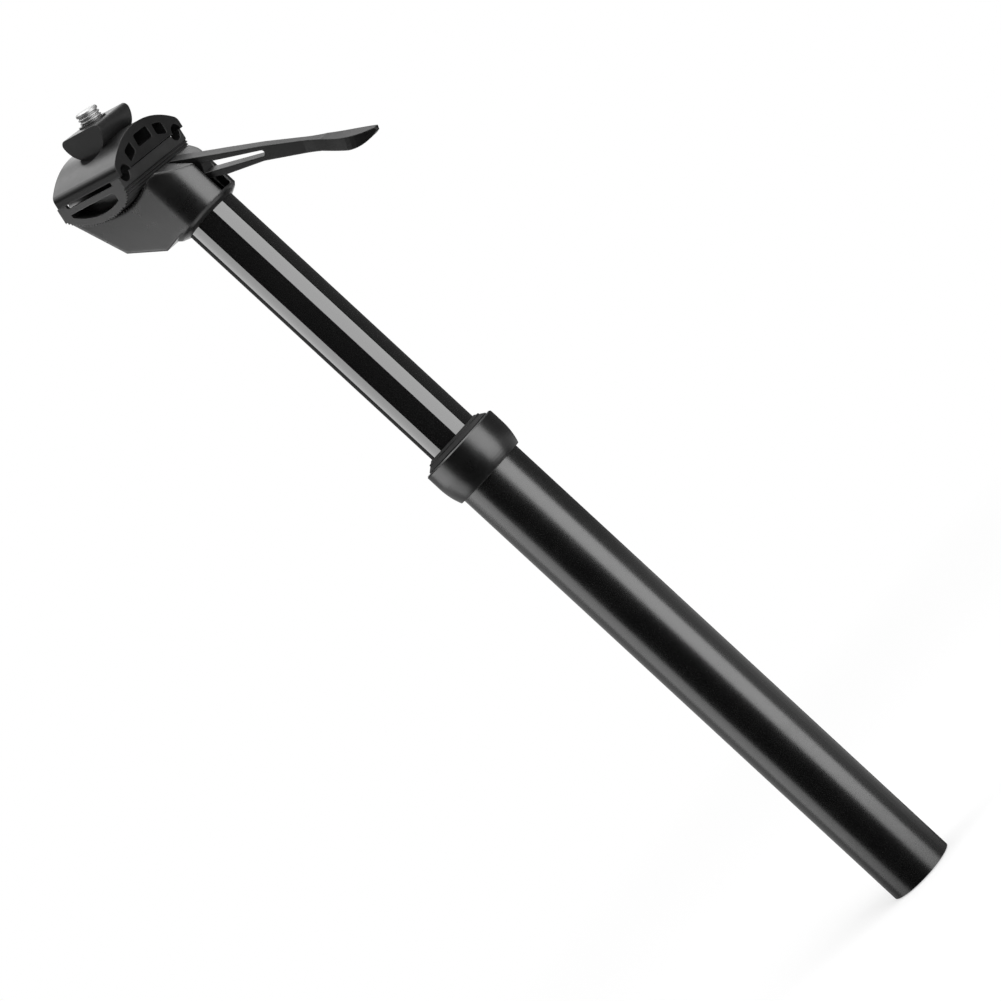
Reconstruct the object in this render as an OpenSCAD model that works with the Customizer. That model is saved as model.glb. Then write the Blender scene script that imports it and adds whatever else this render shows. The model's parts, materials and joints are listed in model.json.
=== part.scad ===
// Dropper seatpost: a stanchion that slides in an outer tube on a lever-released gas cartridge,
// with a saddle clamp that tilts in a serrated cradle on its head.
// X points forward, Y to the rider's left and Z up along the post. The origin is the centre of the lower end.

/* [Tubes] */
// Outside diameter of the outer tube, which fits the seat tube
tube_od = 31.6; // [30.9:0.1:34.9]
// Wall of the outer tube
tube_wall = 1.6; // [1.4:0.1:2]
// Outside diameter of the stanchion
stanchion_od = 25; // [24:0.1:25.4]
// Wall of the stanchion
stanchion_wall = 1.6; // [1.2:0.1:1.8]
// Drop of the saddle
travel = 125; // [75:5:150]
// Length of outer tube below the collar beyond the travel
insert_extra = 121; // [110:1:160]
// Stanchion left showing when the post is fully dropped
dropped_gap = 11; // [6:1:20]

/* [Seal collar] */
// How far the collar stands out from the outer tube
collar_rim = 3.5; // [2.8:0.1:5]
// How far its lower edge stands out
collar_skirt = 1.6; // [1.2:0.1:2.4]
// Length of the collar
collar_len = 18; // [16:0.5:24]
// Length of its lower taper
collar_taper = 10.5; // [8:0.5:13]
// Length of thread on the outer tube
collar_thread = 11; // [8:0.5:12]
// Depth of that thread
thread_depth = 0.2; // [0.1:0.05:0.3]
// Chamfer on the collar's upper edge
collar_chamfer = 0.6; // [0.2:0.1:1]
// Height of the wiper lip above the collar
wiper_h = 3.4; // [2:0.2:5]
// Depth of the wiper's base in the collar
wiper_base = 3; // [2:0.5:4]
// Height of the bead round the wiper lip
wiper_bead = 0.35; // [0.2:0.05:0.5]
// Thickness of the collar's O-ring
o_ring_d = 1; // [0.8:0.1:1.2]

/* [Guides] */
// Length of the bushing in the tube's mouth
upper_bush_len = 36; // [25:1:45]
// Length of the bushing on the stanchion's lower end
lower_bush_len = 28; // [24:1:36]
// Length of the rubber ring that stops the post at the top
top_out_len = 6; // [4:0.5:10]
// Stanchion below its bushing
bush_shoulder = 4; // [3:0.5:8]
// Depth of the bushing's seat in the stanchion
bush_seat = 0.4; // [0.2:0.1:0.6]
// Number of anti-rotation keys
key_count = 3; // [2:1:4]
// Width of a key
key_w = 3; // [2:0.5:4]
// Length of a key
key_len = 20; // [12:1:22]
// Depth of the key groove in the outer tube
key_groove = 0.8; // [0.6:0.1:1]
// Depth of the key pocket in the stanchion
key_pocket = 0.9; // [0.6:0.1:1]
// Slit in the upper bushing
bush_slit = 1; // [0.5:0.1:2]

/* [Cartridge] */
// Diameter of the cartridge rod
rod_d = 9; // [8:0.5:10]
// Diameter of the studs at the rod's ends
rod_stud_d = 6; // [5:0.5:6]
// Outside diameter of the cartridge body
cartridge_od = 20; // [19:0.2:20.4]
// Wall of the cartridge body
cartridge_wall = 1.5; // [1.2:0.1:2]
// Length of the nut that holds the cartridge in the stanchion
cartridge_nut_len = 8; // [6:0.5:12]
// Length of the gland that guides the rod
gland_len = 14; // [12:0.5:18]
// Length of the piston
piston_len = 12; // [10:0.5:16]
// Gap between gland and piston when the post is extended
piston_gap = 2; // [1:0.5:4]
// Height of the piston nut
piston_nut_h = 3.5; // [3:0.5:5]
// Length of the bottom plug
plug_len = 12; // [11:0.5:18]
// Depth of the plug in the tube
plug_inset = 2; // [1:0.5:6]
// Height of the rod nut
rod_nut_h = 4.5; // [4:0.5:5.5]
// Width across flats of the rod nut and the piston nut
nut_flats = 10; // [9:0.5:11]
// Thickness of the rod washer
rod_washer_t = 1.2; // [0.8:0.1:1.6]
// Height of the rubber bumper on the plug
bumper_len = 8; // [5:0.5:12]
// Diameter of the valve pin
valve_pin_d = 5; // [4:0.5:5]
// Height of the valve pin's head
pin_head_h = 4; // [3:0.5:5]
// Diameter of the valve pin's head
pin_head_d = 7; // [6.5:0.5:7]
// Height of the poppet at the pin's lower end
poppet_h = 4; // [3:0.5:6]
// Length of the valve spring
spring_len = 10.5; // [9:0.5:14]
// Wire of the valve spring
spring_wire = 0.8; // [0.5:0.1:0.9]
// Curls in the valve spring
spring_turns = 5; // [4:1:6]
// Height of the neck on the valve head
neck_h = 8; // [5:0.5:12]
// Diameter of the neck on the valve head
neck_d = 12; // [11:0.5:14]
// Height of the flange on the valve head
flange_h = 7; // [5:0.5:10]
// Length of the valve head inside the cartridge body
valve_cap_len = 12; // [8:0.5:16]
// Thickness of the clip above the flange
clip_t = 1.2; // [0.8:0.1:1.6]
// Depth of the clip's groove in the stanchion
clip_groove = 0.5; // [0.3:0.1:0.7]

/* [Head] */
// Wall of the boss round the stanchion
boss_wall = 4.6; // [4:0.1:7]
// Height of the cone under the boss
lip_h = 2.6; // [2:0.1:3]
// Wall of the boss at the foot of that cone
lip_wall = 0.4; // [0.3:0.1:2]
// Break between the cone and the boss
lip_edge = 1.2; // [0.4:0.1:1.4]
// Height above the boss's foot at which the tail leaves it
heel_h = 3; // [3:0.1:5]
// Depth of the stanchion in the head
socket_depth = 11.5; // [9:0.5:12]
// Height of the saddle rails above the boss
rail_height = 41.6; // [41:0.2:45]
// Distance of the clamp bolt behind the post at the height of the rails
setback = 13.4; // [13:0.1:18]
// Tilt of the saddle clamp against the post
seat_tilt = 19; // [17:0.5:22]
// Height of the head in front of the clamp
front_h = 27.6; // [27:0.2:29]
// Distance in front of the post at which the top slopes down
slope_start = 7.2; // [6:0.2:12]
// Angle of that slope
slope_angle = 43; // [35:1:55]
// Distance of the tail behind the clamp bolt
tail_reach = 27; // [25:0.5:32]
// Height of the tail's lower corner above the boss
tail_corner_h = 15.4; // [13:0.2:19]
// Distance from the tail's end to its lower corner
tail_corner_in = 8.8; // [6:0.2:12]
// Distance behind the post at which the underside rises
heel_reach = 16; // [14:0.2:17]
// Height of the front slot's floor above the boss
slot_floor_h = 2.8; // [2.6:0.1:5]

/* [Saddle clamp] */
// Diameter of a saddle rail
rail_d = 7; // [6.9:0.1:8]
// Spacing of the saddle rails
rail_spacing = 44; // [43:0.5:46]
// Depth of a rail groove in each half of the closed clamp
rail_groove = 3.5; // [2.5:0.1:3.5]
// Length of the upper clamp along the rails
clamp_len = 36.5; // [33:0.5:38]
// Distance of the bolt in front of its middle
bolt_lead = 0.4; // [0:0.1:2]
// How far the upper clamp runs past the lower one at the front
upper_lead = 1.5; // [0:0.1:2]
// How far the lower clamp runs past the upper one at the rear
lower_tail = 1; // [0:0.1:2]
// Wall of the upper clamp outside the rails
upper_rail_wall = 1.9; // [1.6:0.1:4.5]
// Height of the upper clamp's crown
upper_h = 13.8; // [13:0.2:16]
// Height at which the crown would meet the upper clamp's upright sides
upper_side_h = 4.4; // [3.6:0.1:5]
// Radius of the rounded shoulders between crown and sides
shoulder_r = 3.6; // [1.5:0.1:4]
// Gap between the clamp's halves between the rails
split_gap = 0.5; // [0.2:0.1:0.8]
// Wall of the lower clamp outside the rails
lower_rail_wall = 1.5; // [1:0.1:3.5]
// Radius of the serrated cradle
cradle_r = 31.3; // [30:0.1:33]
// Height of the cradle's centre above the rails
cradle_rise = 17.2; // [16:0.1:18]
// Depth of the serrations
tooth_h = 0.8; // [0.5:0.1:1]
// Extra depth of the cradle's tooth roots
root_gap = 0.4; // [0:0.1:0.6]
// Number of serrations across the clamp
tooth_count = 26; // [20:1:32]
// Radius of the lower clamp's serrated front corner
corner_r = 7; // [3:0.5:9]
// Wall between the side pockets and the serrations
pocket_wall = 3.6; // [3:0.1:5]
// Depth of the side pockets
pocket_depth = 8; // [4:0.5:12]
// Half length of the side pockets
pocket_half = 13.1; // [9:0.1:13.5]
// How far the side pocket's eased front end lies behind the slot's
pocket_short = 1.2; // [0.6:0.1:1.4]
// Depth of the side slots that open onto the rails
side_slot = 1.8; // [1:0.1:2]
// Bar between the side slots and the side pockets
side_bar = 2.6; // [1.5:0.1:3]
// Depth of the lightening pockets in the upper clamp's ends
window_depth = 11; // [5:0.5:12]
// Metal above the lightening pockets
window_roof = 3.6; // [3:0.1:5]
// Height of the lightening pockets
window_h = 5.4; // [4:0.1:5.6]
// Half width of the middle pocket
window_half = 5.8; // [4:0.1:6]
// Rib between two pockets
window_rib = 3.4; // [3:0.1:5]
// Length over which the pockets' corners are eased off
window_ease = 1; // [0.5:0.1:1.4]
// Wall between the outer pockets and the rails
window_wall = 2.4; // [2:0.1:4]
// Radius of the barrel nut
barrel_r = 10.8; // [10:0.1:12]
// Length of the barrel nut
barrel_len = 25; // [22:0.5:28]
// Height of the barrel nut's flat top above its axis
barrel_flat = 1.4; // [1:0.1:3]
// Radius of the barrel nut's rounded upper edges
barrel_round = 2.4; // [1.5:0.1:3]
// Height of the barrel nut's axis above the upper clamp's crown
barrel_rise = 7; // [6:0.1:9]
// Height of the collar round the bolt on the barrel nut
barrel_collar_h = 0.8; // [0.4:0.1:1.5]
// Diameter of the clamp bolt
bolt_d = 10; // [8:0.5:10]
// Bolt end above the barrel nut, which is how far the clamp opens
bolt_end = 6; // [4:0.1:8]
// Thread pitch of the bolt
bolt_pitch = 1.5; // [1:0.05:1.5]
// Diameter of the bolt head
bolt_head_d = 13; // [12:0.5:13]
// Height of the bolt head
bolt_head_h = 8; // [6:0.5:8]
// Width of the hexagon socket
bolt_socket = 6; // [5:0.5:6]
// Radius of the washer's seat about the cradle's centre
seat_r = 42.2; // [41.6:0.2:43]
// Thickness of the curved washer
bolt_washer_t = 2.7; // [2:0.1:3.2]
// Tilt of the saddle with its nose down
tilt_down = 10; // [0:1:12]
// Tilt of the saddle with its nose up
tilt_up = 3; // [0:1:3]

/* [Lever] */
// Width of the lever at its fork
lever_w = 7; // [6:0.1:8]
// Width of the bar that runs out to the finger pad
lever_waist = 4.4; // [3.5:0.1:6]
// Distance of the lever's pivot in front of the post's axis
pivot_x = 8; // [7:0.1:8.5]
// Height of the pivot above the boss
pivot_h = 15.6; // [15.4:0.1:16.4]
// Slope of the lever at rest
lever_slope = 33.5; // [32:0.5:36]
// Length of the lever in front of its pivot
lever_len = 92.4; // [85:0.2:105]
// Height of the lever's upper edge above the pivot
lever_top = 9.6; // [9.4:0.1:10.2]
// Height of the lever where its fork ends
lever_mid_h = 6.4; // [6:0.1:8]
// Distance from the pivot to the fork's end
fork_end = 37.8; // [32:0.2:46]
// Width of the finger pad
pad_w = 9.8; // [7:0.2:14]
// Length of the finger pad from its widest point to its tip
pad_len = 13.8; // [12:0.2:18]
// Thickness of the lever at the pad's widest point
pad_h = 5.6; // [5:0.1:7]
// Radius of the hub round the pivot
hub_r = 4.6; // [4.4:0.1:4.8]
// Radius of the pad's curl underneath
pad_under_r = 21.2; // [20:0.2:40]
// Radius of the dip along the pad's top
pad_dip_r = 95; // [80:5:160]
// Radius of the nose that presses the valve pin
nose_r = 3; // [2.5:0.1:3.2]
// Diameter of the lever pin
lever_pin_d = 4; // [3:0.5:4]
// Wall of the lever's bush
lever_bush_wall = 1; // [0.8:0.1:1.2]
// Thickness of a pivot washer
pivot_washer_t = 0.6; // [0.4:0.1:0.7]
// Metal left over the lever pin's blind end
pin_cover = 3; // [2:0.5:5]

/* [Clearances] */
// Radial gap of a running fit
run_fit = 0.05; // [0.02:0.01:0.1]
// Gap between soft rings and what slides past them
seal_fit = 0.1; // [0.05:0.01:0.2]
// Gap between a key and its groove
key_fit = 0.15; // [0.1:0.01:0.3]
// Gap between curved faces that swing past each other
swing_gap = 0.3; // [0.25:0.05:0.5]
// Radial clearance of a bolt in its hole
bolt_fit = 0.4; // [0.3:0.05:0.6]
// Radial clearance of the bolt in the barrel nut's thread
thread_fit = 0.1; // [0.05:0.01:0.2]
// Gap beside the lever in its slot
lever_gap = 0.8; // [0.75:0.05:1.2]

/* [Hidden] */
$fn = 64;

// A little more than any cut needs to pass a face
cut = 1;

// Tubes
tube_r = tube_od / 2;
bore_r = tube_r - tube_wall;
thread_r = tube_r - thread_depth;
stanchion_r = stanchion_od / 2;
stanchion_bore_r = stanchion_r - stanchion_wall;
collar_base = travel + insert_extra;
collar_top = collar_base + collar_len;
tube_top = collar_base + collar_thread;
wiper_top = collar_top + wiper_h;
collar_r = tube_r + collar_rim;
skirt_r = tube_r + collar_skirt;
wiper_seat_r = tube_r + collar_skirt / 2;
wiper_flange = 0.5;
head_base = wiper_top + travel + dropped_gap;

// Guides
upper_bush_top = tube_top - 2;
upper_bush_base = upper_bush_top - upper_bush_len;
top_out_top = upper_bush_base - 0.5;
lower_bush_top = top_out_top - top_out_len;
lower_bush_base = lower_bush_top - lower_bush_len;
stanchion_base = lower_bush_base - bush_shoulder;
stanchion_top = head_base + socket_depth;
key_base = lower_bush_base + (lower_bush_len - key_len) / 2;
key_outer_r = bore_r + key_groove - key_fit;
key_inner_r = stanchion_r - key_pocket;
groove_base = key_base - travel - 3;

// Lever and its slot
pivot_z = head_base + pivot_h;
nose_reach = pivot_x;
slot_w = lever_w + 2 * lever_gap;
lever_pin_r = lever_pin_d / 2;
lever_bush_r = lever_pin_r + run_fit + lever_bush_wall;
pad_start = lever_len - pad_len;

// Cartridge, counted down from the lever's nose and up from the plug
rod_r = rod_d / 2;
stud_r = rod_stud_d / 2;
pin_r = valve_pin_d / 2;
pin_top = pivot_z - nose_r - swing_gap;
neck_top = pin_top - pin_head_h - spring_len;
flange_top = neck_top - neck_h;
body_top = flange_top - flange_h;
valve_cap_base = body_top - valve_cap_len;
body_base = stanchion_base + cartridge_nut_len;
body_r = cartridge_od / 2;
body_bore_r = body_r - cartridge_wall;
gland_top = body_base + gland_len;
piston_base = gland_top + piston_gap;
piston_top = piston_base + piston_len;
plug_top = plug_inset + plug_len;
plug_floor = plug_inset + rod_nut_h + rod_washer_t + 0.8;
nut_r = nut_flats / sqrt(3);
plug_ring_z = plug_inset + plug_len / 2;
piston_ring_z = piston_base + piston_len / 2;

// Head and clamp
boss_r = stanchion_r + boss_wall;
lip_r = stanchion_r + lip_wall;
clamp_z = head_base + rail_height;
cradle_x = cradle_rise * sin(seat_tilt) - setback;
tail_x = setback + tail_reach;
rail_r = rail_d / 2;
rail_y = rail_spacing / 2;
upper_w = 2 * (rail_y + rail_r + upper_rail_wall);
lower_w = 2 * (rail_y + rail_r + lower_rail_wall);
bolt_r = bolt_d / 2;
tooth_tip_r = cradle_r - swing_gap;
upper_front = clamp_len / 2 - bolt_lead;
upper_rear = -clamp_len / 2 - bolt_lead;
lower_front = upper_front - upper_lead;
lower_rear = upper_rear - lower_tail;
lower_mid = (lower_front + lower_rear) / 2;
tooth_front = asin(lower_front / tooth_tip_r);
tooth_rear = asin(lower_rear / tooth_tip_r);
tooth_pitch = (tooth_front - tooth_rear) / tooth_count;
corner_x = lower_front - corner_r;
corner_turn = asin(corner_x / (tooth_tip_r - corner_r));
corner_z = cradle_rise - (tooth_tip_r - corner_r) * cos(corner_turn);
corner_skip = floor((tooth_front - corner_turn) / tooth_pitch) + 1;
corner_teeth = max(1, round(corner_r * (90 - corner_turn) / tooth_tip_r / tooth_pitch));
rail_offset = rail_r - rail_groove;
washer_face_r = seat_r + swing_gap;
washer_base_r = washer_face_r + bolt_washer_t;
washer_half = bolt_head_d / 2;
crown_rise = upper_h - upper_side_h;
crown_r = (pow(upper_w / 2, 2) + pow(crown_rise, 2)) / (2 * crown_rise);
barrel_z = upper_h + barrel_rise;
barrel_top = barrel_z + barrel_flat;
bolt_top = barrel_top + bolt_end;
barrel_collar_wall = 1.3;

// Points on an arc about a centre, from angle a0 to a1
function arc(centre, r, a0, a1, steps) =
    [for (i = [0:steps]) centre + r * [cos(a0 + (a1 - a0) * i / steps), sin(a0 + (a1 - a0) * i / steps)]];

// A point in the clamp's side plane: distance r from the cradle's centre, angle a forward of the
// bolt's line, moved sideways by off
function ray(r, a, off = 0) = [r * sin(a) + off * cos(a), cradle_rise - r * cos(a) + off * sin(a)];

// Serrations about the cradle's centre, from angle a0 back: even points at r_even and odd ones at r_odd
function serration(r_even, r_odd, a0, count) =
    [for (i = [0:2 * count]) ray(i % 2 == 0 ? r_even : r_odd, a0 - i * tooth_pitch / 2)];

// Outline with each corner eased off over a length of e
function eased(points, e) =
    let (last = len(points) - 1)
    [
        for (i = [0:last])
            let (
                back = points[i == 0 ? last : i - 1] - points[i],
                ahead = points[i == last ? 0 : i + 1] - points[i],
                u = e * back / norm(back),
                v = e * ahead / norm(ahead)
            )
            for (shift = [u, 0.27 * (u + v), v])
                points[i] + shift
    ];

// Ring with a rectangular section
module ring(r_in, r_out, z0, z1) {
    translate([0, 0, z0])
        difference() {
            cylinder(r = r_out, h = z1 - z0);
            translate([0, 0, -cut])
                cylinder(r = r_in, h = z1 - z0 + 2 * cut);
        }
}

// Torus with its section centred at radius r and height z
module round_ring(r, z, section_r) {
    rotate_extrude()
        translate([r, z])
            circle(section_r, $fn = 24);
}

// Plate with its outline in X and Z, centred on the post's middle plane
module side_plate(w) {
    translate([0, w / 2, 0])
        rotate([90, 0, 0])
            linear_extrude(w)
                children();
}

// Place of the saddle clamp: its X runs along the rails and its Z along the bolt
module in_clamp() {
    translate([-setback, 0, clamp_z])
        rotate([0, seat_tilt, 0])
            children();
}

// Place of the lever: its X runs along the lever from the pivot
module in_lever() {
    translate([pivot_x, 0, pivot_z])
        rotate([0, lever_slope, 0])
            children();
}

// Pin along Y through the lever's pivot
module pivot_cylinder(r, y0, y1) {
    translate([pivot_x, y1, pivot_z])
        rotate([90, 0, 0])
            cylinder(r = r, h = y1 - y0);
}

// Boxes round the post, one for each key
module key_boxes(r0, r1, w, z0, z1) {
    for (i = [0:key_count - 1])
        rotate([0, 0, 180 + i * 360 / key_count])
            translate([r0, -w / 2, z0])
                cube([r1 - r0, w, z1 - z0]);
}

module outer_tube() {
    color("#1d1d1f")
        difference() {
            rotate_extrude()
                polygon([
                    [bore_r, 0],
                    [tube_r, 0],
                    [tube_r, collar_base],
                    [thread_r, collar_base],
                    [thread_r, tube_top],
                    [bore_r, tube_top]
                ]);
            key_boxes(bore_r - cut, bore_r + key_groove, key_w + 2 * key_fit, groove_base, tube_top + cut);
        }
}

module seal_collar() {
    rim_bow = (pow(collar_taper, 2) + pow(collar_r - skirt_r, 2)) / (2 * (collar_r - skirt_r));
    bow_angle = asin(collar_taper / rim_bow);
    seat_base = collar_top - wiper_base;
    groove_z = collar_base + collar_taper / 2;
    color("#1a1a1c")
        difference() {
            rotate_extrude()
                polygon(concat(
                    [[thread_r, collar_base]],
                    arc([collar_r - rim_bow, collar_base + collar_taper], rim_bow, -bow_angle, 0, 8),
                    [
                        [collar_r, collar_top - collar_chamfer],
                        [collar_r - collar_chamfer, collar_top],
                        [wiper_seat_r, collar_top],
                        [wiper_seat_r, seat_base],
                        [thread_r, seat_base]
                    ]
                ));
            ring(
                thread_r - cut,
                thread_r + o_ring_d + 0.1,
                groove_z - o_ring_d * 0.6,
                groove_z + o_ring_d * 0.6
            );
        }
}

module wiper_seal() {
    lip_in = stanchion_r + seal_fit;
    foot = [wiper_seat_r + wiper_flange, collar_top + wiper_flange];
    lip = [lip_in + wiper_flange, wiper_top];
    run = (lip - foot) / norm(lip - foot);
    out = wiper_bead * [run[1], -run[0]];
    bead = foot + 0.62 * (lip - foot);
    color("#101012")
        rotate_extrude()
            polygon([
                [lip_in, collar_top - wiper_base],
                [wiper_seat_r, collar_top - wiper_base],
                [wiper_seat_r, collar_top],
                [wiper_seat_r + wiper_flange, collar_top],
                foot,
                bead - 0.45 * run,
                bead - 0.2 * run + out,
                bead + 0.2 * run + out,
                bead + 0.45 * run,
                lip,
                [lip_in, wiper_top]
            ]);
}

module foam_ring() {
    color("#6b675c")
        ring(stanchion_r + seal_fit, thread_r, tube_top, collar_top - wiper_base);
}

module collar_o_ring() {
    color("#202022")
        round_ring(thread_r + o_ring_d / 2 + 0.02, collar_base + collar_taper / 2, o_ring_d / 2);
}

module upper_bushing() {
    color("#b08d4f")
        difference() {
            ring(stanchion_r + run_fit, bore_r, upper_bush_base, upper_bush_top);
            translate([0, -bush_slit / 2, upper_bush_base - cut])
                cube([tube_r, bush_slit, upper_bush_len + 2 * cut]);
        }
}

module bottom_plug() {
    color("#4a4a4e")
        difference() {
            translate([0, 0, plug_inset])
                cylinder(r = bore_r, h = plug_len);
            translate([0, 0, plug_inset - cut])
                cylinder(r = stud_r, h = plug_len + 2 * cut);
            translate([0, 0, plug_inset - cut])
                cylinder(r = nut_r + 1.5, h = plug_floor - plug_inset + cut);
            ring(bore_r - 1.9, bore_r + cut, plug_ring_z - 1, plug_ring_z + 1);
        }
}

module plug_o_ring() {
    color("#202022")
        round_ring(bore_r - 0.9, plug_ring_z, 0.88);
}

module rod_washer() {
    color("#a9abae")
        ring(stud_r, nut_r + 1, plug_floor - rod_washer_t, plug_floor);
}

module hex_nut(z0, h) {
    translate([0, 0, z0])
        difference() {
            cylinder(r = nut_r, h = h, $fn = 6);
            translate([0, 0, -cut])
                cylinder(r = stud_r, h = h + 2 * cut);
        }
}

module rod_nut() {
    color("#8f9194")
        hex_nut(plug_floor - rod_washer_t - rod_nut_h, rod_nut_h);
}

module bottom_bumper() {
    color("#2a2a2c")
        ring(rod_r, bore_r - 4, plug_top, plug_top + bumper_len);
}

module cartridge_rod() {
    color("#c9cbce")
        rotate_extrude()
            polygon([
                [0, plug_inset + 0.5],
                [stud_r, plug_inset + 0.5],
                [stud_r, plug_top],
                [rod_r, plug_top],
                [rod_r, piston_base],
                [stud_r, piston_base],
                [stud_r, piston_top + piston_nut_h + 0.5],
                [0, piston_top + piston_nut_h + 0.5]
            ]);
}

module piston() {
    color("#9a9ca0")
        difference() {
            ring(stud_r, body_bore_r - run_fit, piston_base, piston_top);
            ring(body_bore_r - 1.6, body_bore_r + cut, piston_ring_z - 1.25, piston_ring_z + 1.25);
        }
}

module piston_ring() {
    color("#e6e2d3")
        ring(body_bore_r - 1.6, body_bore_r - run_fit, piston_ring_z - 1.2, piston_ring_z + 1.2);
}

module piston_nut() {
    color("#8f9194")
        hex_nut(piston_top, piston_nut_h);
}

module stanchion() {
    color("#232326")
        difference() {
            ring(stanchion_bore_r, stanchion_r, stanchion_base, stanchion_top);
            ring(stanchion_r - bush_seat, stanchion_r + cut, lower_bush_base, top_out_top);
            key_boxes(key_inner_r, stanchion_r + cut, key_w, key_base, key_base + key_len);
            ring(0.5, stanchion_bore_r + clip_groove, flange_top, flange_top + clip_t);
            translate([pivot_x / 2, -slot_w / 2, head_base + slot_floor_h])
                cube([stanchion_r, slot_w, socket_depth]);
        }
}

// Outline of the head seen from the side
module head_outline() {
    slope_drop = (boss_r + cut - slope_start) * tan(slope_angle);
    polygon([
        [boss_r + cut, head_base + heel_h],
        [-heel_reach, head_base + heel_h],
        [tail_corner_in - tail_x, head_base + tail_corner_h],
        [-tail_x, clamp_z],
        [cradle_x, clamp_z],
        [cradle_x, head_base + front_h],
        [slope_start, head_base + front_h],
        [boss_r + cut, head_base + front_h - slope_drop]
    ]);
}

module head_block() {
    intersection() {
        translate([0, 0, head_base])
            linear_extrude(rail_height + cradle_rise) {
                circle(boss_r);
                translate([-tail_x - cut, -boss_r])
                    square([tail_x + cut, 2 * boss_r]);
            }
        side_plate(2 * boss_r + 2 * cut)
            head_outline();
    }
    rotate([0, 0, 180])
        rotate_extrude()
            polygon([
                [0, head_base],
                [lip_r, head_base],
                [boss_r - lip_edge, head_base + lip_h - lip_edge],
                [boss_r, head_base + lip_h],
                [boss_r, head_base + heel_h],
                [0, head_base + heel_h]
            ]);
}

// Room for the lever: a slot that opens to the front and the top
module lever_slot() {
    translate([0, -slot_w / 2, head_base + slot_floor_h])
        cube([boss_r + cut, slot_w, rail_height]);
    translate([-nose_r - 3, -slot_w / 2, stanchion_top - cut])
        cube([nose_r + 3 + cut, slot_w, rail_height]);
}

// Room for the bolt and its washer as the clamp tilts
module bolt_slot() {
    hole_r = bolt_r + bolt_fit;
    pocket_r = washer_half + 0.7;
    side_plate(2 * hole_r)
        polygon([
            ray(cradle_r - 6, -tilt_down, -hole_r),
            ray(seat_r + 3, -tilt_down, -hole_r),
            ray(seat_r + 3, tilt_up, hole_r),
            ray(cradle_r - 6, tilt_up, hole_r)
        ]);
    side_plate(2 * pocket_r)
        difference() {
            polygon([
                ray(seat_r - 5, -tilt_down, -pocket_r),
                ray(seat_r + rail_height, -tilt_down, -pocket_r),
                ray(seat_r + rail_height, tilt_up, pocket_r),
                ray(seat_r - 5, tilt_up, pocket_r)
            ]);
            translate([0, cradle_rise])
                circle(seat_r);
        }
}

module head() {
    spare = 4;
    color("#2b2b2d")
        difference() {
            head_block();
            translate([0, 0, head_base - cut])
                cylinder(r = stanchion_r, h = socket_depth + cut);
            lever_slot();
            pivot_cylinder(lever_pin_r, pin_cover - boss_r + 2, boss_r + cut);
            in_clamp() {
                side_plate(2 * boss_r + 2 * cut)
                    polygon(concat(
                        serration(
                            cradle_r + tooth_h + root_gap,
                            cradle_r,
                            tooth_front + spare * tooth_pitch,
                            tooth_count + 2 * spare
                        ),
                        [ray(cradle_r, -80), ray(cradle_r, 80)]
                    ));
                bolt_slot();
            }
        }
}

module lower_bushing() {
    color("#b08d4f")
        difference() {
            ring(stanchion_r - bush_seat, bore_r - run_fit, lower_bush_base, lower_bush_top);
            key_boxes(key_inner_r, tube_r, key_w, key_base, key_base + key_len);
        }
}

module anti_rotation_keys() {
    color("#c9a24a")
        intersection() {
            key_boxes(key_inner_r, tube_r, key_w, key_base, key_base + key_len);
            cylinder(r = key_outer_r, h = head_base);
        }
}

module top_out_ring() {
    color("#2a2a2c")
        ring(stanchion_r - bush_seat, bore_r - seal_fit * 2, lower_bush_top, top_out_top);
}

module cartridge_body() {
    color("#a4a6a9")
        ring(body_bore_r, body_r, body_base, body_top);
}

module cartridge_gland() {
    seal_base = body_base + gland_len / 2 - 1.5;
    color("#7d7f83")
        difference() {
            ring(rod_r + run_fit, body_bore_r, body_base, gland_top);
            ring(rod_r, rod_r + 2, seal_base, seal_base + 3);
        }
}

module rod_seal() {
    seal_base = body_base + gland_len / 2 - 1.5;
    color("#202022")
        ring(rod_r + run_fit, rod_r + 2, seal_base, seal_base + 3);
}

module cartridge_nut() {
    color("#5d5f63")
        ring(rod_r + swing_gap, stanchion_bore_r, stanchion_base, body_base);
}

module cartridge_clip() {
    color("#b9bbbe")
        difference() {
            ring(stanchion_bore_r - 1.5, stanchion_bore_r + clip_groove, flange_top, flange_top + clip_t);
            translate([-stanchion_r, -2.5, flange_top - cut])
                cube([stanchion_r, 5, clip_t + 2 * cut]);
        }
}

module valve_head() {
    color("#8b8d91")
        difference() {
            union() {
                translate([0, 0, valve_cap_base])
                    cylinder(r = body_bore_r, h = valve_cap_len);
                translate([0, 0, body_top])
                    cylinder(r = stanchion_bore_r, h = flange_h);
                translate([0, 0, flange_top])
                    cylinder(r = neck_d / 2, h = neck_h);
            }
            translate([0, 0, valve_cap_base - cut])
                cylinder(r = pin_r + run_fit, h = neck_top - valve_cap_base + 2 * cut);
        }
}

module valve_pin() {
    color("#d2d4d7")
        rotate_extrude()
            polygon([
                [0, valve_cap_base - poppet_h],
                [pin_r + 1.5, valve_cap_base - poppet_h],
                [pin_r + 1.5, valve_cap_base - swing_gap],
                [pin_r, valve_cap_base - swing_gap],
                [pin_r, pin_top - pin_head_h],
                [pin_head_d / 2, pin_top - pin_head_h],
                [pin_head_d / 2, pin_top],
                [0, pin_top]
            ]);
}

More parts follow.
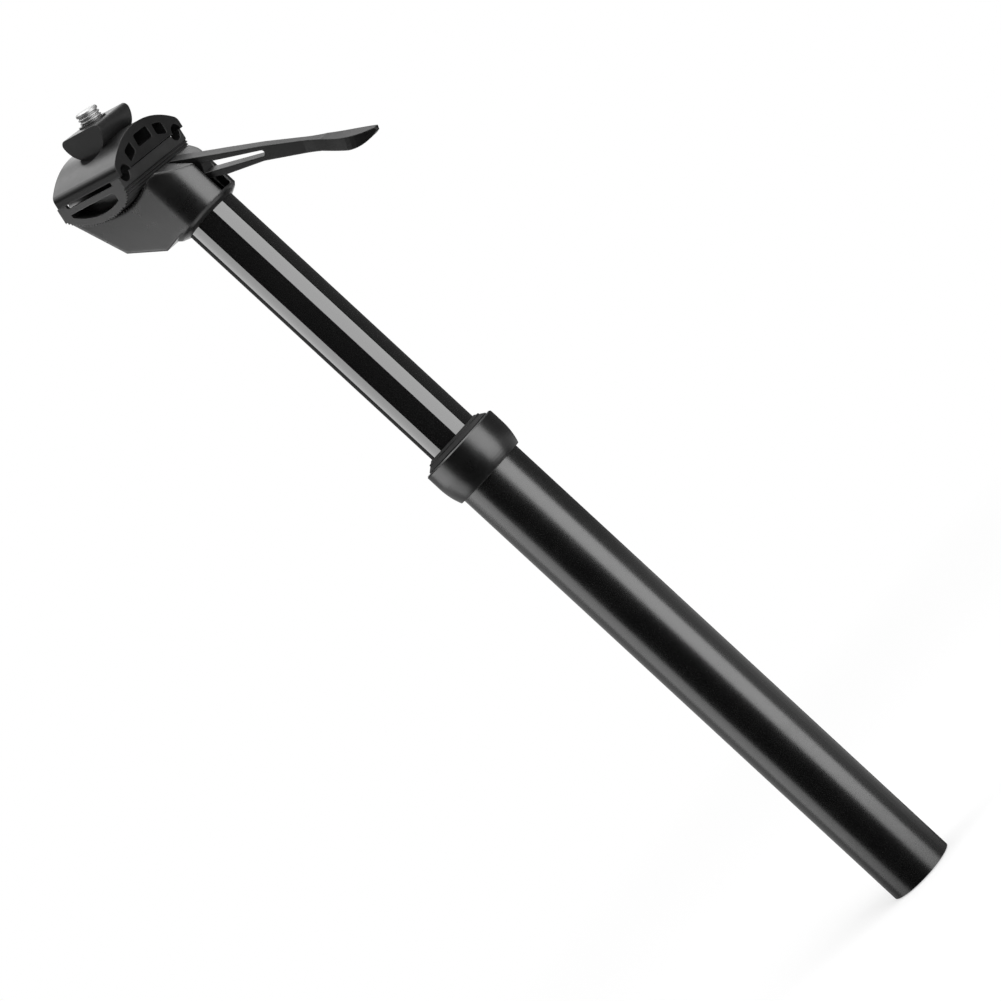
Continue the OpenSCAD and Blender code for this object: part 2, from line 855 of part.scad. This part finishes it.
// The valve spring's curls: a tube of six sides that follows a helix
spring_rings = 8;
spring_sides = 6;
spring_r = pin_r + swing_gap + spring_wire / 2;
spring_steps = spring_turns * spring_rings;
spring_rise = spring_len - spring_wire - 2 * seal_fit;
spring_gap = spring_rise / spring_turns - spring_wire;
spring_points = [
    for (i = [0:spring_steps])
        for (j = [0:spring_sides - 1])
            let (
                turn = 360 * i / spring_rings,
                side = 360 * j / spring_sides,
                r = spring_r + spring_wire / 2 * cos(side),
                z = neck_top + seal_fit + spring_wire / 2 + spring_rise * i / spring_steps
            )
            [r * cos(turn), r * sin(turn), z + spring_wire / 2 * sin(side)]
];
spring_walls = [
    for (i = [0:spring_steps - 1])
        for (j = [0:spring_sides - 1])
            let (
                a = i * spring_sides + j,
                b = i * spring_sides + (j + 1) % spring_sides
            )
            for (face = [[a, b + spring_sides, b], [a, a + spring_sides, b + spring_sides]])
                face
];
spring_ends = [
    for (j = [1:spring_sides - 2])
        for (face = [
            [0, j, j + 1],
            [
                spring_steps * spring_sides,
                spring_steps * spring_sides + j + 1,
                spring_steps * spring_sides + j
            ]
        ])
            face
];
echo(spring_least_gap_mm = spring_gap);

module valve_spring() {
    color("#b4b6b9")
        polyhedron(spring_points, concat(spring_walls, spring_ends), convexity = 6);
}

module lever_pin() {
    color("#9a9ca0")
        pivot_cylinder(
            lever_pin_r,
            pin_cover - boss_r + 2,
            sqrt(pow(boss_r, 2) - pow(pivot_x + lever_pin_r, 2))
        );
}

module pivot_washers() {
    y0 = lever_w / 2 + (lever_gap - pivot_washer_t) / 2;
    color("#b9bbbe")
        for (side = [-1, 1])
            difference() {
                pivot_cylinder(hub_r - 0.6, side * (y0 + pivot_washer_t / 2) - pivot_washer_t / 2,
                    side * (y0 + pivot_washer_t / 2) + pivot_washer_t / 2);
                pivot_cylinder(lever_pin_r, -boss_r, boss_r);
            }
}

// Side outline of the lever, with its fork and its curled tip
module lever_outline() {
    nose = -nose_reach * [cos(lever_slope), sin(lever_slope)];
    root_x = nose[0] - nose_r;
    fork_r = 1.3;
    fork_z = lever_top - 2.3 - fork_r;
    mid_x = pad_start - 13;
    mid_top = lever_top - 1.9;
    pad_top = lever_top - 2.6;
    pad_base = pad_top - pad_h;
    difference() {
        union() {
            polygon([
                [nose[0] + 0.8, lever_top + 0.2],
                [root_x - 0.4, nose[1] + 3 * nose_r + 1],
                [root_x, nose[1]],
                [nose[0], nose[1]],
                [0, 1 - hub_r],
                [hub_r + 1.7, -0.5],
                [19, 0.1],
                [fork_end, lever_top - lever_mid_h - 0.5],
                [mid_x, mid_top - pad_h + 0.5],
                [pad_start, pad_base],
                [lever_len, pad_base],
                [lever_len, pad_top + 1.4],
                [mid_x, mid_top],
                [fork_end, lever_top - 0.5],
                [13, lever_top - 0.2]
            ]);
            translate(nose)
                circle(nose_r);
            circle(hub_r);
        }
        circle(lever_bush_r);
        translate([fork_end, fork_z])
            circle(fork_r);
        polygon([
            [fork_end, fork_z + fork_r],
            [8.5, lever_top - 2.9],
            [8.5, 2.2],
            [fork_end, fork_z - fork_r]
        ]);
        translate([pad_start, pad_top + pad_dip_r])
            circle(pad_dip_r);
        difference() {
            translate([pad_start, pad_base - cut])
                square([pad_len + cut, pad_under_r]);
            translate([pad_start, pad_base + pad_under_r])
                circle(pad_under_r);
        }
        polygon([
            [lever_len - 0.9, pad_top + 2],
            [lever_len - 0.9, pad_top + 0.9],
            [lever_len, pad_top + 0.1],
            [lever_len + cut, pad_top + 0.1],
            [lever_len + cut, pad_top + 2]
        ]);
    }
}

// Plan of the lever: a tapered bar that flares to a leaf-shaped finger pad
module lever_plan() {
    flare = 1.5 * pad_len;
    leaf_len = pad_len + 1.6;
    leaf_r = (pow(leaf_len, 2) + pow(pad_w / 2, 2)) / pad_w;
    leaf_end = pad_len - 0.6;
    far_side = concat(
        [[-2 * nose_reach, lever_w / 2], [fork_end / 2, lever_w / 2]],
        [
            for (i = [0:8])
                let (t = i / 8)
                [pad_start - flare * (1 - t), (lever_waist + (pad_w - lever_waist) * t * t * (3 - 2 * t)) / 2]
        ],
        [
            for (i = [1:6])
                let (x = leaf_end * i / 6)
                [pad_start + x, sqrt(pow(leaf_r, 2) - pow(x, 2)) - leaf_r + pad_w / 2]
        ],
        [[lever_len, 0.4]]
    );
    last = len(far_side) - 1;
    polygon(concat(far_side, [for (i = [last:-1:0]) [far_side[i][0], -far_side[i][1]]]));
}

module release_lever() {
    color("#3a3a3d")
        in_lever()
            intersection() {
                side_plate(pad_w + lever_w)
                    lever_outline();
                translate([0, 0, -lever_len / 2])
                    linear_extrude(lever_len)
                        lever_plan();
            }
}

module lever_bush() {
    color("#b08d4f")
        difference() {
            pivot_cylinder(lever_bush_r, -lever_w / 2, lever_w / 2);
            pivot_cylinder(lever_pin_r + run_fit, -lever_w, lever_w);
        }
}

// Grooves for both saddle rails
module rail_grooves() {
    for (side = [-1, 1])
        translate([-clamp_len, side * rail_y, rail_offset])
            rotate([0, 90, 0])
                cylinder(r = rail_r, h = 2 * clamp_len);
}

module lower_clamp() {
    pocket_top = -side_slot - side_bar;
    pocket_rear = lower_mid - pocket_half;
    pocket_front = lower_mid + pocket_half - pocket_short;
    color("#3e3e41")
        in_clamp()
            difference() {
                side_plate(lower_w)
                    polygon(concat(
                        [[lower_rear, 0], [lower_front, 0]],
                        [
                            for (i = [0:2 * corner_teeth])
                                let (
                                    turn = (90 - corner_turn) * i / corner_teeth / 2,
                                    r = i % 2 == 0 ? corner_r : corner_r - tooth_h
                                )
                                [corner_x + r * cos(turn), corner_z - r * sin(turn)]
                        ],
                        serration(
                            tooth_tip_r,
                            tooth_tip_r - tooth_h,
                            tooth_front - corner_skip * tooth_pitch,
                            tooth_count - corner_skip
                        )
                    ));
                rail_grooves();
                translate([0, 0, -2 * cradle_r])
                    cylinder(r = bolt_r + bolt_fit, h = 3 * cradle_r);
                for (side = [-1, 1]) {
                    translate([0, side * (lower_w / 2 - pocket_depth / 2 + cut / 2), 0])
                        side_plate(pocket_depth + cut)
                            intersection() {
                                translate([0, cradle_rise])
                                    circle(tooth_tip_r - pocket_wall);
                                polygon([
                                    [pocket_rear, pocket_top],
                                    [pocket_rear, pocket_top - cradle_r],
                                    [pocket_front, pocket_top - cradle_r],
                                    [pocket_front, pocket_top - pocket_short],
                                    [pocket_front - 0.3 * pocket_short, pocket_top - 0.3 * pocket_short],
                                    [pocket_front - pocket_short, pocket_top]
                                ]);
                            }
                    translate([pocket_rear, side * (rail_y + lower_w / 2) - lower_w / 2, -side_slot])
                        cube([2 * pocket_half, lower_w, side_slot + cut]);
                }
            }
}

// Outline of the upper clamp seen along the rails
module upper_outline() {
    shoulder_x = upper_w / 2 - shoulder_r;
    meet = acos(shoulder_x / (crown_r - shoulder_r));
    shoulder_z = upper_h - crown_r + (crown_r - shoulder_r) * sin(meet);
    leave = meet - 9;
    edge = concat(
        [[upper_w / 2, 0]],
        arc([shoulder_x, shoulder_z], shoulder_r, 0, leave, 6),
        [[shoulder_x, shoulder_z] + shoulder_r * [cos(leave) - sin(leave), sin(leave) + cos(leave)]]
    );
    last = len(edge) - 1;
    gap_half = rail_y - rail_r - 1;
    difference() {
        intersection() {
            translate([0, upper_h - crown_r])
                circle(crown_r, $fn = 128);
            polygon(concat(
                edge,
                [[edge[last][0], upper_h + cut], [-edge[last][0], upper_h + cut]],
                [for (i = [last:-1:0]) [-edge[i][0], edge[i][1]]]
            ));
        }
        for (side = [-1, 1])
            translate([side * rail_y, -rail_offset])
                circle(rail_r);
        translate([-gap_half, -cut])
            square([2 * gap_half, split_gap + cut]);
    }
}

// Lightening pockets seen along the rails
module upper_windows() {
    top = upper_h - window_roof;
    base = top - window_h;
    draft = 0.4;
    inner = window_half + window_rib;
    outer = rail_y - rail_r - window_wall;
    drop_in = pow(inner, 2) / 2 / crown_r;
    drop_out = pow(outer, 2) / 2 / crown_r;
    polygon(eased(
        [[-window_half, base], [window_half, base], [window_half - draft, top], [draft - window_half, top]],
        window_ease
    ));
    for (side = [-1, 1])
        polygon(eased(
            [
                [side * inner, base - drop_in + draft],
                [side * (outer - draft), base - drop_out],
                [side * outer, top - drop_out],
                [side * (inner + draft), top - drop_in]
            ],
            window_ease
        ));
}

module upper_clamp() {
    color("#343437")
        in_clamp()
            difference() {
                translate([upper_rear, 0, 0])
                    rotate([90, 0, 90])
                        linear_extrude(clamp_len)
                            upper_outline();
                for (from = [upper_rear - cut, upper_front - window_depth])
                    translate([from, 0, 0])
                        rotate([90, 0, 90])
                            linear_extrude(window_depth + cut)
                                upper_windows();
                side_plate(2 * upper_w)
                    translate([0, barrel_z])
                        circle(barrel_r);
                translate([0, 0, -cut])
                    cylinder(r = bolt_r + bolt_fit, h = upper_h + 2 * cut);
            }
}

module barrel_nut() {
    meet = asin((barrel_flat - barrel_round) / (barrel_r - barrel_round));
    round_x = (barrel_r - barrel_round) * cos(meet);
    round_z = barrel_z + barrel_flat - barrel_round;
    color("#39393c")
        in_clamp()
            difference() {
                union() {
                    side_plate(barrel_len)
                        polygon(concat(
                            arc([round_x, round_z], barrel_round, meet, 90, 8),
                            arc([-round_x, round_z], barrel_round, 90, 180 - meet, 8),
                            arc([0, barrel_z], barrel_r, 184 - meet, 356 + meet, 42)
                        ));
                    translate([0, 0, barrel_z])
                        cylinder(r = bolt_r + barrel_collar_wall, h = barrel_flat + barrel_collar_h);
                }
                cylinder(r = bolt_r + thread_fit, h = bolt_top);
            }
}

module clamp_bolt() {
    head_top = cradle_rise - washer_base_r;
    thread_from = barrel_top - 2 * bolt_pitch;
    crests = floor((bolt_top - thread_from) / bolt_pitch) - 1;
    root_r = bolt_r - 0.45 * bolt_pitch;
    color("#d5d7da")
        in_clamp()
            difference() {
                rotate_extrude()
                    polygon(concat(
                        [
                            [0, head_top - bolt_head_h],
                            [bolt_head_d / 2 - 0.6, head_top - bolt_head_h],
                            [bolt_head_d / 2, head_top - bolt_head_h + 0.6],
                            [bolt_head_d / 2, head_top],
                            [bolt_r, head_top]
                        ],
                        [
                            for (i = [0:crests - 1])
                                for (step = [[bolt_r, 0], [bolt_r, 0.2], [root_r, 0.55], [root_r, 0.65]])
                                    [step[0], thread_from + (i + step[1]) * bolt_pitch]
                        ],
                        [
                            [bolt_r, thread_from + crests * bolt_pitch],
                            [bolt_r, bolt_top - 0.4 * bolt_pitch],
                            [root_r, bolt_top],
                            [0, bolt_top]
                        ]
                    ));
                translate([0, 0, head_top - bolt_head_h - cut])
                    cylinder(d = bolt_socket / cos(30), h = bolt_head_h / 2 + cut, $fn = 6);
            }
}

module bolt_washer() {
    color("#8f9194")
        in_clamp()
            difference() {
                side_plate(2 * washer_half)
                    difference() {
                        translate([-washer_half, cradle_rise - washer_base_r])
                            square([2 * washer_half, 2 * bolt_washer_t]);
                        translate([0, cradle_rise])
                            circle(washer_face_r, $fn = 128);
                    }
                translate([0, 0, cradle_rise - washer_base_r - cut])
                    cylinder(r = bolt_r + bolt_fit, h = 3 * bolt_washer_t);
            }
}

outer_tube();
seal_collar();
wiper_seal();
foam_ring();
collar_o_ring();
upper_bushing();
bottom_plug();
plug_o_ring();
rod_washer();
rod_nut();
bottom_bumper();
cartridge_rod();
piston();
piston_ring();
piston_nut();
stanchion();
head();
lower_bushing();
anti_rotation_keys();
top_out_ring();
cartridge_body();
cartridge_gland();
rod_seal();
cartridge_nut();
cartridge_clip();
valve_head();
valve_spring();
lever_pin();
pivot_washers();
release_lever();
lever_bush();
valve_pin();
lower_clamp();
clamp_bolt();
bolt_washer();
upper_clamp();
barrel_nut();
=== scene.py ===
"""Dropper seatpost, dressed for the photograph: materials, valve spring, camera, light and floor.

All lengths are metres in the CAD frame: +Z runs up the post, +X points forward.
"""

import json
import math

import bmesh
import bpy
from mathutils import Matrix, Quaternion, Vector


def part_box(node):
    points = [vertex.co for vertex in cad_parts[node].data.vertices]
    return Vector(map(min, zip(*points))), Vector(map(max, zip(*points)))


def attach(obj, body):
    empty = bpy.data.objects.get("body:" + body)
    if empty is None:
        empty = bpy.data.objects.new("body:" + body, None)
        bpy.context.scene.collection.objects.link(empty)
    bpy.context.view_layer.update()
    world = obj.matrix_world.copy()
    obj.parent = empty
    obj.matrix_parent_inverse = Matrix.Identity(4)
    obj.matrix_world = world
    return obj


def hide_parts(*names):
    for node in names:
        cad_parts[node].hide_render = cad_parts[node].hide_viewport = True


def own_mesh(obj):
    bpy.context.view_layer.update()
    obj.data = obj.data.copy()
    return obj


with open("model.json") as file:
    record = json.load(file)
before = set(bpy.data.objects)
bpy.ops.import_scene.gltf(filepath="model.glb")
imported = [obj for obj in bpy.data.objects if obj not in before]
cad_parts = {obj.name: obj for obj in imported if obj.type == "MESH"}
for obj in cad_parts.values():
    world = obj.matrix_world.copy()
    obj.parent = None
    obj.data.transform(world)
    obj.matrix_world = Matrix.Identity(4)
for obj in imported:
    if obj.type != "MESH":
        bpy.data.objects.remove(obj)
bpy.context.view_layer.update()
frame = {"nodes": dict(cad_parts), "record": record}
nodes = frame["nodes"]
scene = bpy.context.scene
scene.view_settings.view_transform = "Standard"


# Shader helpers

def new_tree(name):
    material = bpy.data.materials.new(name)
    material.use_nodes = True
    material.node_tree.nodes.clear()
    return material, material.node_tree


def add(tree, kind, sockets=None, **settings):
    """A new node with its settings; a socket takes a value or another node's output."""
    node = tree.nodes.new(kind)
    for key, value in settings.items():
        setattr(node, key, value)
    for key, value in (sockets or {}).items():
        if isinstance(value, bpy.types.NodeSocket):
            tree.links.new(value, node.inputs[key])
        else:
            node.inputs[key].default_value = value
    return node


def noise(tree, vector, scale, detail=3.0, roughness=0.55):
    node = add(tree, "ShaderNodeTexNoise", {
        "Vector": vector, "Scale": scale, "Detail": detail, "Roughness": roughness,
    })
    return node.outputs["Fac"]


def spread(tree, value, low, high, from_low=0.3, from_high=0.7):
    """Maps a noise value to the range from low to high."""
    node = add(tree, "ShaderNodeMapRange", {
        "Value": value, "From Min": from_low, "From Max": from_high, "To Min": low, "To Max": high,
    })
    return node.outputs["Result"]


def mix(tree, factor, a, b):
    """Colour a where the factor is 0, colour b where it is 1."""
    node = add(tree, "ShaderNodeMix", data_type="RGBA")
    for index, value in ((0, factor), (6, a), (7, b)):
        if isinstance(value, bpy.types.NodeSocket):
            tree.links.new(value, node.inputs[index])
        else:
            node.inputs[index].default_value = value
    return node.outputs[2]


def grey(value):
    return (value, value, value, 1)


def surface(name, colour, rough, wear_and_glint=None, ior=1.5, metallic=0.0, grain=2200.0, depth=2e-5,
            stretch=(1, 1, 1), blotch=70.0, edge=0.0004, wear_and_glint_amount=0.0):
    """A metal, rubber or plastic finish: blotches of two close colours, a fine grain in bump and roughness,
    edges rounded by the radius edge, and edges lightened towards a paler colour where the amount is above 0,
    partly as rubbed wear and partly as a painted highlight along the edges.
    stretch draws the grain out into turning lines."""
    material, tree = new_tree(name)
    place = add(tree, "ShaderNodeTexCoord").outputs["Object"]
    drawn = add(tree, "ShaderNodeMapping", {"Vector": place, "Scale": stretch}).outputs["Vector"]
    fine = noise(tree, drawn, grain, 4.0)
    broad = noise(tree, place, blotch, 5.0)
    middle = noise(tree, drawn, grain / 6, 3.0)
    dark, light = colour
    base = mix(tree, spread(tree, broad, 0, 1), dark, light)
    base = mix(tree, spread(tree, fine, 0, 0.35), base, light)
    bump = add(tree, "ShaderNodeBump", {"Strength": 1.0, "Distance": depth, "Height": fine})
    if edge:
        rounded = add(tree, "ShaderNodeBevel", {"Radius": edge}, samples=6).outputs["Normal"]
        tree.links.new(rounded, bump.inputs["Normal"])
    # Edges lightened to a paler colour: partly rubbed wear, partly a painted highlight along the edges
    if edge and wear_and_glint_amount:
        true_normal = add(tree, "ShaderNodeNewGeometry").outputs["True Normal"]
        turn = add(tree, "ShaderNodeVectorMath", {0: rounded, 1: true_normal}, operation="DOT_PRODUCT")
        rim = spread(tree, turn.outputs["Value"], wear_and_glint_amount, 0, 0.75, 0.97)
        patchy = spread(tree, middle, 0.2, 1)
        rubbed_and_glint = add(tree, "ShaderNodeMath", {0: rim, 1: patchy}, operation="MULTIPLY")
        base = mix(tree, rubbed_and_glint.outputs["Value"], base, wear_and_glint or light)
    mixed = add(tree, "ShaderNodeMath", {0: middle, 1: broad}, operation="ADD").outputs["Value"]
    gloss = spread(tree, mixed, rough[0], rough[1], 0.7, 1.3)
    shader = add(tree, "ShaderNodeBsdfPrincipled", {
        "Base Color": base, "Metallic": metallic, "Roughness": gloss, "IOR": ior,
        "Normal": bump.outputs["Normal"],
    })
    out = add(tree, "ShaderNodeOutputMaterial", {"Surface": shader.outputs["BSDF"]})
    out.is_active_output = True
    return material


# Finishes, one for each material slot of the record: colour and rough are ranges, lengths are metres

# Pale grey of the lightened edges on the black parts: partly wear, partly a painted highlight
EDGE_WEAR_AND_GLINT = grey(0.30)
LOOKS = {
    "tube_black": dict(
        colour=(grey(0.0018), grey(0.0026)), rough=(0.24, 0.29), ior=1.72, grain=3200, depth=3e-6, edge=0,
    ),
    "collar_black": dict(
        colour=(grey(0.002), grey(0.003)), rough=(0.27, 0.33), ior=1.66, grain=3200, depth=3e-6,
        wear_and_glint=EDGE_WEAR_AND_GLINT, wear_and_glint_amount=0.05,
    ),
    "stanchion_black": dict(
        colour=(grey(0.0044), grey(0.0050)), rough=(0.03, 0.05), ior=1.88, grain=300, depth=1e-7,
        stretch=(0.15, 0.15, 4), edge=0,
    ),
    "head_black": dict(
        colour=(grey(0.003), grey(0.005)), rough=(0.26, 0.32), ior=1.68, grain=2600, depth=8e-6,
        edge=0.0016, wear_and_glint=EDGE_WEAR_AND_GLINT, wear_and_glint_amount=0.08,
    ),
    "lever_black": dict(
        colour=(grey(0.002), grey(0.004)), rough=(0.34, 0.41), ior=1.42, grain=2600, depth=6e-6,
        edge=0.0007, wear_and_glint=EDGE_WEAR_AND_GLINT, wear_and_glint_amount=0.08,
    ),
    "clamp_grey": dict(
        colour=(grey(0.004), grey(0.007)), rough=(0.36, 0.42), ior=1.82, grain=2400, depth=1e-5,
        edge=0.0003, wear_and_glint=EDGE_WEAR_AND_GLINT, wear_and_glint_amount=0.08,
    ),
    "clamp_black": dict(
        colour=(grey(0.005), grey(0.008)), rough=(0.30, 0.37), ior=1.44, grain=2600, depth=6e-6,
        edge=0.0006, wear_and_glint=EDGE_WEAR_AND_GLINT, wear_and_glint_amount=0.03,
    ),
    "nut_black": dict(
        colour=(grey(0.007), grey(0.010)), rough=(0.34, 0.42), grain=2600, depth=6e-6,
        edge=0.0006, wear_and_glint=EDGE_WEAR_AND_GLINT, wear_and_glint_amount=0.06,
    ),
    "bolt_steel": dict(
        colour=(grey(0.38), grey(0.50)), rough=(0.50, 0.60), metallic=1.0, grain=1800, depth=4e-6,
        stretch=(1, 1, 3), edge=0.0001,
    ),
    "steel": dict(
        colour=(grey(0.46), grey(0.58)), rough=(0.28, 0.40), metallic=1.0, grain=1800, depth=8e-6,
        edge=0.0002, wear_and_glint=grey(0.7), wear_and_glint_amount=0.3,
    ),
    "rod_steel": dict(
        colour=(grey(0.66), grey(0.74)), rough=(0.08, 0.16), metallic=1.0, grain=900, depth=1e-6,
        stretch=(0.2, 0.2, 4), edge=0.0002,
    ),
    "plain_aluminium": dict(
        colour=(grey(0.52), grey(0.62)), rough=(0.30, 0.42), metallic=1.0, grain=1200, depth=5e-6,
        stretch=(0.3, 0.3, 3), edge=0.0003, wear_and_glint=grey(0.75), wear_and_glint_amount=0.2,
    ),
    "bush_bronze": dict(
        colour=((0.42, 0.29, 0.13, 1), (0.56, 0.40, 0.19, 1)), rough=(0.32, 0.45), metallic=1.0,
        grain=1500, depth=8e-6, edge=0.0002, wear_and_glint=(0.7, 0.55, 0.3, 1), wear_and_glint_amount=0.2,
    ),
    "seal_rubber": dict(
        colour=(grey(0.004), grey(0.007)), rough=(0.56, 0.66), ior=1.36, grain=1600, depth=2e-5, edge=0.0002,
    ),
    "foam": dict(
        colour=((0.24, 0.22, 0.18, 1), (0.38, 0.35, 0.29, 1)), rough=(0.85, 0.95), grain=900, depth=3e-4,
        edge=0.0003,
    ),
    "ring_plastic": dict(
        colour=((0.62, 0.59, 0.49, 1), (0.74, 0.71, 0.61, 1)), rough=(0.40, 0.52), grain=1400, depth=1e-5,
        edge=0.0002,
    ),
}
FINISHES = {name: surface(name, **look) for name, look in LOOKS.items()}
for part in frame["record"]["subparts"]:
    mesh = nodes[part["node"]].data
    mesh.materials.clear()
    mesh.materials.append(FINISHES[part["material_slot"]])

# The polished stanchion shows no reflection of the lever beside it
nodes["release_lever"].visible_glossy = False


# Valve spring: round wire on a helix, its end turns closed and flat

def coil(name, radius, wire, z0, z1, turns, steps=32, sides=12):
    grid = bmesh.new()
    count = int(turns * steps)
    rings = []
    for i in range(count + 1):
        share = i / count
        ease = min(1.0, share * turns) * min(1.0, (1 - share) * turns)
        lift = share if ease >= 1 else share + (1 - ease) * (0.35 / turns) * (0.5 - share)
        turn = 2 * math.pi * turns * share
        z = z0 + wire / 2 + (z1 - z0 - wire) * lift
        ring = []
        for j in range(sides):
            side = 2 * math.pi * j / sides
            r = radius + wire / 2 * math.cos(side)
            height = z + wire / 2 * math.sin(side)
            ring.append(grid.verts.new((r * math.cos(turn), r * math.sin(turn), height)))
        rings.append(ring)
    for a, b in zip(rings, rings[1:]):
        for j in range(sides):
            k = (j + 1) % sides
            grid.faces.new((a[j], b[j], b[k], a[k])).smooth = True
    grid.faces.new(rings[0])
    grid.faces.new(reversed(rings[-1]))
    bmesh.ops.recalc_face_normals(grid, faces=grid.faces)
    mesh = bpy.data.meshes.new(name)
    grid.to_mesh(mesh)
    grid.free()
    mesh.materials.append(FINISHES["steel"])
    piece = bpy.data.objects.new(name, mesh)
    scene.collection.objects.link(piece)
    return piece


WIRE = 0.0008
TURNS = 5
low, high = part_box("valve_spring")
spring = coil("valve_spring_coil", high.x - WIRE / 2, WIRE, low.z, high.z, TURNS)
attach(spring, "upper")
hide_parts("valve_spring")
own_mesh(spring)


# Camera at the photograph's angle, rolled so that the post lies across the frame

CAMERA = (0.84973, -1.12617, 0.28556)
FORWARD = Vector((-0.60503646, 0.79539124, -0.03582826))
ROLL = math.radians(-47.2786)
LENS_MM = 121.841
lens = bpy.data.cameras.new("camera")
lens.sensor_width = 36.0
lens.lens = LENS_MM
lens.clip_start = 0.01
camera = bpy.data.objects.new("camera", lens)
camera.location = CAMERA
camera.rotation_mode = "QUATERNION"
camera.rotation_quaternion = FORWARD.to_track_quat("-Z", "Y") @ Quaternion((0, 0, 1), ROLL)
scene.collection.objects.link(camera)
scene.camera = camera


# Studio: softboxes in front, at the side and overhead, dim panels behind, a dark surround that only
# reflections see, a pale floor

def softbox(name, place, target, width, height, radiance):
    """A lamp of even radiance that faces the target and that the camera does not see."""
    lamp = bpy.data.lights.new(name, "AREA")
    lamp.shape = "RECTANGLE"
    lamp.size = width
    lamp.size_y = height
    lamp.energy = radiance * math.pi * width * height
    box = bpy.data.objects.new(name, lamp)
    box.location = place
    box.rotation_mode = "QUATERNION"
    box.rotation_quaternion = (Vector(target) - Vector(place)).to_track_quat("-Z", "Y")
    box.visible_camera = False
    scene.collection.objects.link(box)


def upright(name, azimuths, heights, radiance, reach=0.75):
    """A softbox beside the post, from one azimuth to another, in degrees, and between two heights."""
    middle = math.radians(sum(azimuths) / 2)
    half = math.radians((azimuths[1] - azimuths[0]) / 2)
    z = sum(heights) / 2
    place = (reach * math.cos(middle), reach * math.sin(middle), z)
    softbox(name, place, (0, 0, z), 2 * reach * math.tan(half), heights[1] - heights[0], radiance)


def seen_directly(tree):
    """1 for camera, glossy and transmission rays, else 0."""
    path = add(tree, "ShaderNodeLightPath").outputs
    first = add(tree, "ShaderNodeMath", {0: path["Is Camera Ray"], 1: path["Is Glossy Ray"]}, operation="ADD")
    first = first.outputs["Value"]
    through = path["Is Transmission Ray"]
    both = add(tree, "ShaderNodeMath", {0: first, 1: through}, operation="ADD", use_clamp=True)
    return both.outputs["Value"]


LOW = (-0.15, 0.25)
HIGH = (0.25, 0.95)
upright("softbox_front", (-35, 19), HIGH, 3.7)
upright("softbox_front_low", (-27, 19), LOW, 3.8)
upright("softbox_side", (-175.5, -122), (0.24, 0.50), 2.9)
upright("softbox_side_low", (-161, -122), (-0.15, 0.24), 1.8)
upright("panel_front", (24, 108), (0.12, 0.95), 0.08)
upright("panel_front_low", (24, 108), (-0.15, 0.12), 0.45)
upright("panel_side", (127, 184), HIGH, 0.10)
upright("panel_side_low", (127, 198), LOW, 0.45)
upright("panel_back", (92, 128), (0.70, 1.20), 0.9)
softbox("softbox_top", (0, 0, 1.6), (0, 0, 0), 1.3, 1.3, 2.6)

world = bpy.data.worlds.new("studio")
world.use_nodes = True
sky = world.node_tree
sky.nodes.clear()
glow = spread(sky, seen_directly(sky), 0.35, 1.0, 0.0, 1.0)
white = add(sky, "ShaderNodeBackground", {"Color": (1, 1, 1, 1), "Strength": glow})
add(sky, "ShaderNodeOutputWorld", {"Surface": white.outputs["Background"]})
scene.world = world


def stage_piece(name, verts, faces, material):
    mesh = bpy.data.meshes.new(name)
    mesh.from_pydata(verts, [], faces)
    mesh.materials.append(material)
    piece = bpy.data.objects.new(name, mesh)
    scene.collection.objects.link(piece)
    return piece


# The surround leaves a gap straight behind the post
dark, dark_tree = new_tree("surround_black")
cloth = add(dark_tree, "ShaderNodeBsdfDiffuse", {"Color": grey(0.012)})
add(dark_tree, "ShaderNodeOutputMaterial", {"Surface": cloth.outputs["BSDF"]})
SURROUND_R = 1.05
SURROUND_HALF_H = 1.2
SURROUND_TURN = 170
STRIPS = 59
FACING = math.atan2(-FORWARD.y, -FORWARD.x)
arc = [FACING + math.radians(SURROUND_TURN * (2 * i / STRIPS - 1)) for i in range(STRIPS + 1)]
surround = stage_piece(
    "dark_surround",
    [
        (SURROUND_R * math.cos(a), SURROUND_R * math.sin(a), z)
        for a in arc
        for z in (-SURROUND_HALF_H, SURROUND_HALF_H)
    ],
    [(2 * i, 2 * i + 2, 2 * i + 3, 2 * i + 1) for i in range(STRIPS)],
    dark,
)
surround.visible_camera = False
surround.visible_diffuse = False
surround.visible_transmission = False
surround.visible_shadow = False

# The floor is lit white where it is seen far from the post, and keeps the shadow near it
FLOOR_R = 4.0
FLOOR_Z = -0.0005
pale, pale_tree = new_tree("floor_white")
spot = add(pale_tree, "ShaderNodeTexCoord").outputs["Object"]
far = add(pale_tree, "ShaderNodeVectorMath", {0: spot}, operation="LENGTH").outputs["Value"]
speckle = noise(pale_tree, spot, 900.0)
paint = mix(pale_tree, speckle, grey(0.86), grey(0.92))
matte = add(pale_tree, "ShaderNodeBsdfDiffuse", {"Color": paint})
lit = add(pale_tree, "ShaderNodeEmission", {"Color": (1, 1, 1, 1), "Strength": 1.0})
reach = spread(pale_tree, far, 0.55, 1.0, 0.15, 0.7)
share = add(pale_tree, "ShaderNodeMath", {0: reach, 1: seen_directly(pale_tree)}, operation="MULTIPLY")
both = add(pale_tree, "ShaderNodeMixShader", {
    0: share.outputs["Value"], 1: matte.outputs["BSDF"], 2: lit.outputs["Emission"],
})
add(pale_tree, "ShaderNodeOutputMaterial", {"Surface": both.outputs["Shader"]})
rim = [
    (FLOOR_R * math.cos(math.radians(a)), FLOOR_R * math.sin(math.radians(a)), FLOOR_Z)
    for a in range(0, 360, 5)
]
floor = stage_piece("floor", rim, [tuple(range(len(rim)))], pale)
floor.visible_glossy = False
floor.visible_shadow = False
